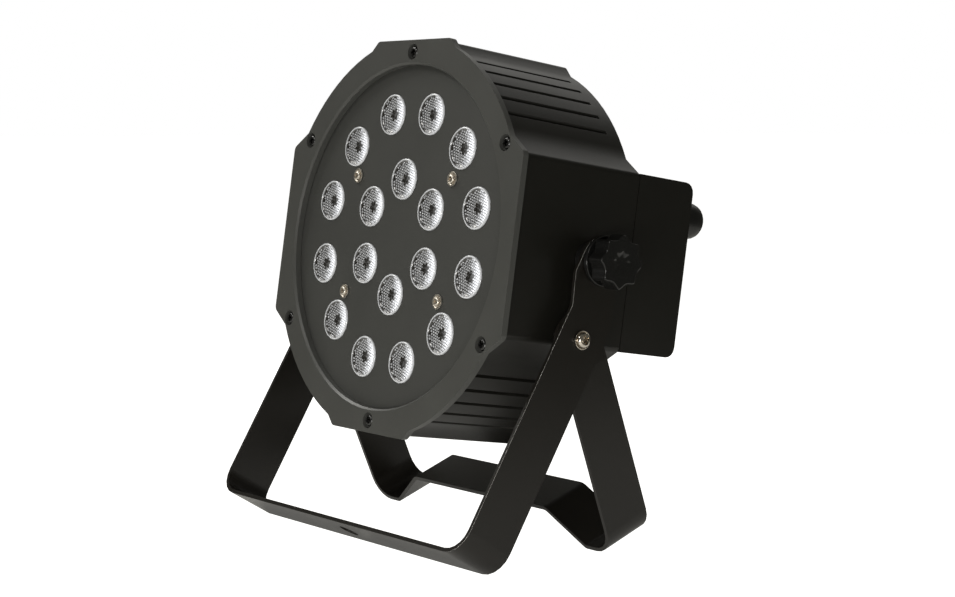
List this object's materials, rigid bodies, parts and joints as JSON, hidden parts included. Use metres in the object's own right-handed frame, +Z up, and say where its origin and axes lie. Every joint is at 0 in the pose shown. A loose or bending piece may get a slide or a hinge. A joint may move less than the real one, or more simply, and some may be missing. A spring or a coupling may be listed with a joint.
{
  "type": "par can light",
  "caption": "Round par can stage light with lenses behind a lobed bezel, a finned housing with rear control box, and a double yoke that folds into a floor stand with star tilt knobs.",
  "frame": {"origin": "middle of the base of the whole light's box, on the floor that both brackets stand on", "axes": "+X to the light's left as it faces the room, which is the viewer's right; the light shines towards -Y; +Z up"},
  "size_m": [0.2492, 0.1818, 0.2588],
  "materials": {
    "bezel_paint": "satin dark grey powder coat",
    "plate_paint": "matte dark grey paint",
    "housing_paint": "satin black powder coat on die-cast aluminium",
    "bracket_paint": "satin black powder coat",
    "lens_clear": "clear moulded acrylic",
    "black_screw": "black oxide",
    "bright_screw": "bright nickel",
    "zinc_steel": "zinc plated",
    "knob_plastic": "glossy black moulding",
    "black_nylon": "black nylon",
    "button_plastic": "black rubber-feel caps",
    "smoked_window": "smoked red acrylic",
    "board_white": "white solder mask on metal-core board",
    "board_green": "green solder mask",
    "bare_aluminium": "bare aluminium"
  },
  "bodies": {
    "front_yoke": {"front_bracket": "bracket_paint", "pivot_screw_left": "bright_screw", "pivot_screw_right": "bright_screw", "pivot_nut_left": "zinc_steel", "pivot_nut_right": "zinc_steel"},
    "rear_yoke": {"rear_bracket": "bracket_paint"},
    "head": {"bezel_screw_1": "black_screw", "bezel_screw_2": "black_screw", "bezel_screw_3": "black_screw", "bezel_screw_4": "black_screw", "bezel_screw_5": "black_screw", "bezel_screw_6": "black_screw", "control_board": "board_green", "cover_screw_left": "black_screw", "cover_screw_right": "black_screw", "display_window": "smoked_window", "dmx_in": "black_nylon", "dmx_out": "black_nylon", "front_bezel": "bezel_paint", "gland_body": "black_nylon", "gland_nut": "black_nylon", "heat_sink": "bare_aluminium", "led_board": "board_white", "lens_01": "lens_clear", "lens_02": "lens_clear", "lens_03": "lens_clear", "lens_04": "lens_clear", "lens_05": "lens_clear", "lens_06": "lens_clear", "lens_07": "lens_clear", "lens_08": "lens_clear", "lens_09": "lens_clear", "lens_10": "lens_clear", "lens_11": "lens_clear", "lens_12": "lens_clear", "lens_13": "lens_clear", "lens_14": "lens_clear", "lens_15": "lens_clear", "lens_16": "lens_clear", "lens_17": "lens_clear", "lens_18": "lens_clear", "lens_plate": "plate_paint", "main_housing": "housing_paint", "plate_screw_1": "bright_screw", "plate_screw_2": "bright_screw", "plate_screw_3": "bright_screw", "plate_screw_4": "bright_screw", "power_supply": "bare_aluminium", "rear_cover": "housing_paint", "spacer_bush_left": "black_nylon", "spacer_bush_right": "black_nylon"},
    "left_knob": {"knob_left": "knob_plastic", "tilt_stud_left": "zinc_steel"},
    "right_knob": {"knob_right": "knob_plastic", "tilt_stud_right": "zinc_steel"},
    "menu_key": {"button_menu": "button_plastic"},
    "down_key": {"button_down": "button_plastic"},
    "up_key": {"button_up": "button_plastic"},
    "enter_key": {"button_enter": "button_plastic"}
  },
  "joints": [
    {"name": "head_tilt", "type": "hinge", "parent": "front_yoke", "child": "head", "pos_m": [0, -0.0033, 0.14895], "axis": [1, 0, 0], "range_deg": [-81.2, 98.8]},
    {"name": "rear_yoke_fold", "type": "hinge", "parent": "front_yoke", "child": "rear_yoke", "pos_m": [0, -0.0164, 0.11096], "axis": [1, 0, 0], "range_deg": [-52.1, 0]},
    {"name": "left_knob_turn", "type": "hinge", "parent": "head", "child": "left_knob", "pos_m": [-0.11005, -0.0033, 0.14895], "axis": [-1, 0, 0], "range_deg": [0, 360]},
    {"name": "right_knob_turn", "type": "hinge", "parent": "head", "child": "right_knob", "pos_m": [0.11005, -0.0033, 0.14895], "axis": [1, 0, 0], "range_deg": [0, 360]},
    {"name": "menu_press", "type": "slide", "parent": "head", "child": "menu_key", "axis": [0, -0.9882, 0.153], "range_m": [0, 0.001], "stiffness_N_per_m": 1500},
    {"name": "down_press", "type": "slide", "parent": "head", "child": "down_key", "axis": [0, -0.9882, 0.153], "range_m": [0, 0.001], "stiffness_N_per_m": 1500},
    {"name": "up_press", "type": "slide", "parent": "head", "child": "up_key", "axis": [0, -0.9882, 0.153], "range_m": [0, 0.001], "stiffness_N_per_m": 1500},
    {"name": "enter_press", "type": "slide", "parent": "head", "child": "enter_key", "axis": [0, -0.9882, 0.153], "range_m": [0, 0.001], "stiffness_N_per_m": 1500}
  ]
}
